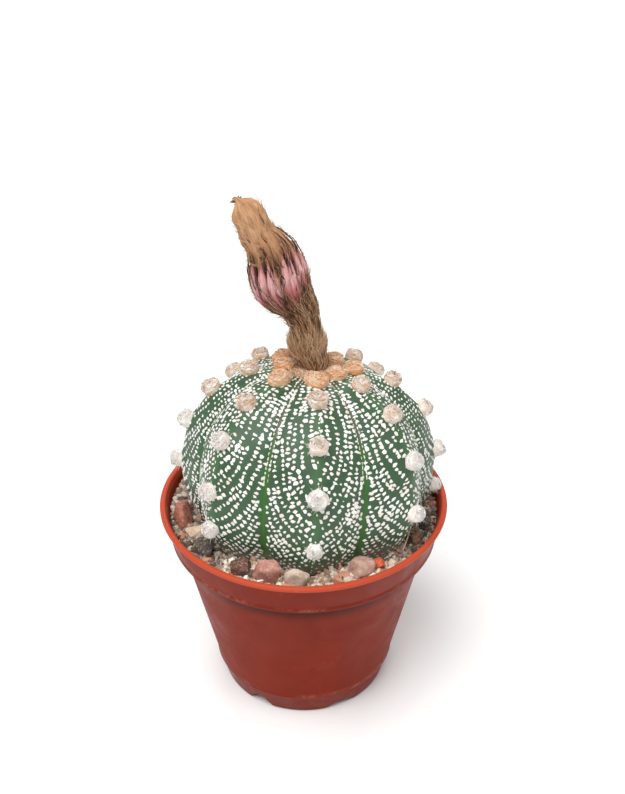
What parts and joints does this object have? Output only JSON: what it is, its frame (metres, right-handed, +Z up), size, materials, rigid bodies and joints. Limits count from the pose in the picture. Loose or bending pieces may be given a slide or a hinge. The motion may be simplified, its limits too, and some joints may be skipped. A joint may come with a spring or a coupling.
{
  "type": "potted round cactus",
  "caption": "Round ribbed star cactus with white flecks, woolly pads and a withered flower, growing in a small tapered plastic pot with gritty soil.",
  "frame": {"origin": "centre of the pot's base, on the surface that it stands on", "axes": "+Z up along the pot's axis, -Y towards the front of the plant"},
  "size_m": [0.055, 0.055, 0.099],
  "materials": {
    "terracotta_plastic": "injection-moulded polypropylene, satin, slightly dusty, lip brighter",
    "cactus_skin": "firm waxy green skin with small raised white woolly flecks in rows",
    "areole_wool": "short felted white wool",
    "crown_wool": "short felted orange-tan wool",
    "flower_bristles": "dry brown scales and hairs lying along the tube",
    "pink_tepals": "withered pink tepals with dark seams",
    "dry_petal_skin": "papery dried petals, folded",
    "potting_soil": "loose gritty mineral potting soil",
    "root_skin": "thin tan bark of the root",
    "red_lava": "porous red lava",
    "brown_lava": "porous brown lava",
    "pale_gravel": "pale gravel",
    "pink_gravel": "pink gravel",
    "sand_gravel": "sandstone gravel",
    "rose_gravel": "rose gravel",
    "orange_gravel": "orange brick-like chip",
    "brown_bark": "brown gravel",
    "dark_earth": "dark clod of earth"
  },
  "bodies": {
    "root": {"areole_back_1": "areole_wool", "areole_back_2": "areole_wool", "areole_back_3": "areole_wool", "areole_back_4": "areole_wool", "areole_back_left_1": "areole_wool", "areole_back_left_2": "areole_wool", "areole_back_left_3": "areole_wool", "areole_back_left_4": "areole_wool", "areole_back_right_1": "areole_wool", "areole_back_right_2": "areole_wool", "areole_back_right_3": "areole_wool", "areole_back_right_4": "areole_wool", "areole_front_1": "areole_wool", "areole_front_2": "areole_wool", "areole_front_3": "areole_wool", "areole_front_4": "areole_wool", "areole_front_left_1": "areole_wool", "areole_front_left_2": "areole_wool", "areole_front_left_3": "areole_wool", "areole_front_left_4": "areole_wool", "areole_front_right_1": "areole_wool", "areole_front_right_2": "areole_wool", "areole_front_right_3": "areole_wool", "areole_front_right_4": "areole_wool", "areole_left_1": "areole_wool", "areole_left_2": "areole_wool", "areole_left_3": "areole_wool", "areole_left_4": "areole_wool", "areole_right_1": "areole_wool", "areole_right_2": "areole_wool", "areole_right_3": "areole_wool", "areole_right_4": "areole_wool", "brown_chip": "brown_bark", "brown_stone": "brown_lava", "cactus_body": "cactus_skin", "crown_wool_back": "crown_wool", "crown_wool_back_left": "crown_wool", "crown_wool_back_right": "crown_wool", "crown_wool_front": "crown_wool", "crown_wool_front_left": "crown_wool", "crown_wool_front_right": "crown_wool", "crown_wool_left": "crown_wool", "crown_wool_right": "crown_wool", "dark_clod": "dark_earth", "dark_stone": "dark_earth", "dried_petals": "dry_petal_skin", "flower_tube": "flower_bristles", "lava_stone": "red_lava", "orange_chip": "orange_gravel", "outer_tepals": "pink_tepals", "pale_stone": "pale_gravel", "pink_stone": "pink_gravel", "pot": "terracotta_plastic", "roots": "root_skin", "rose_stone": "rose_gravel", "sand_stone": "sand_gravel", "soil": "potting_soil"}
  },
  "joints": []
}
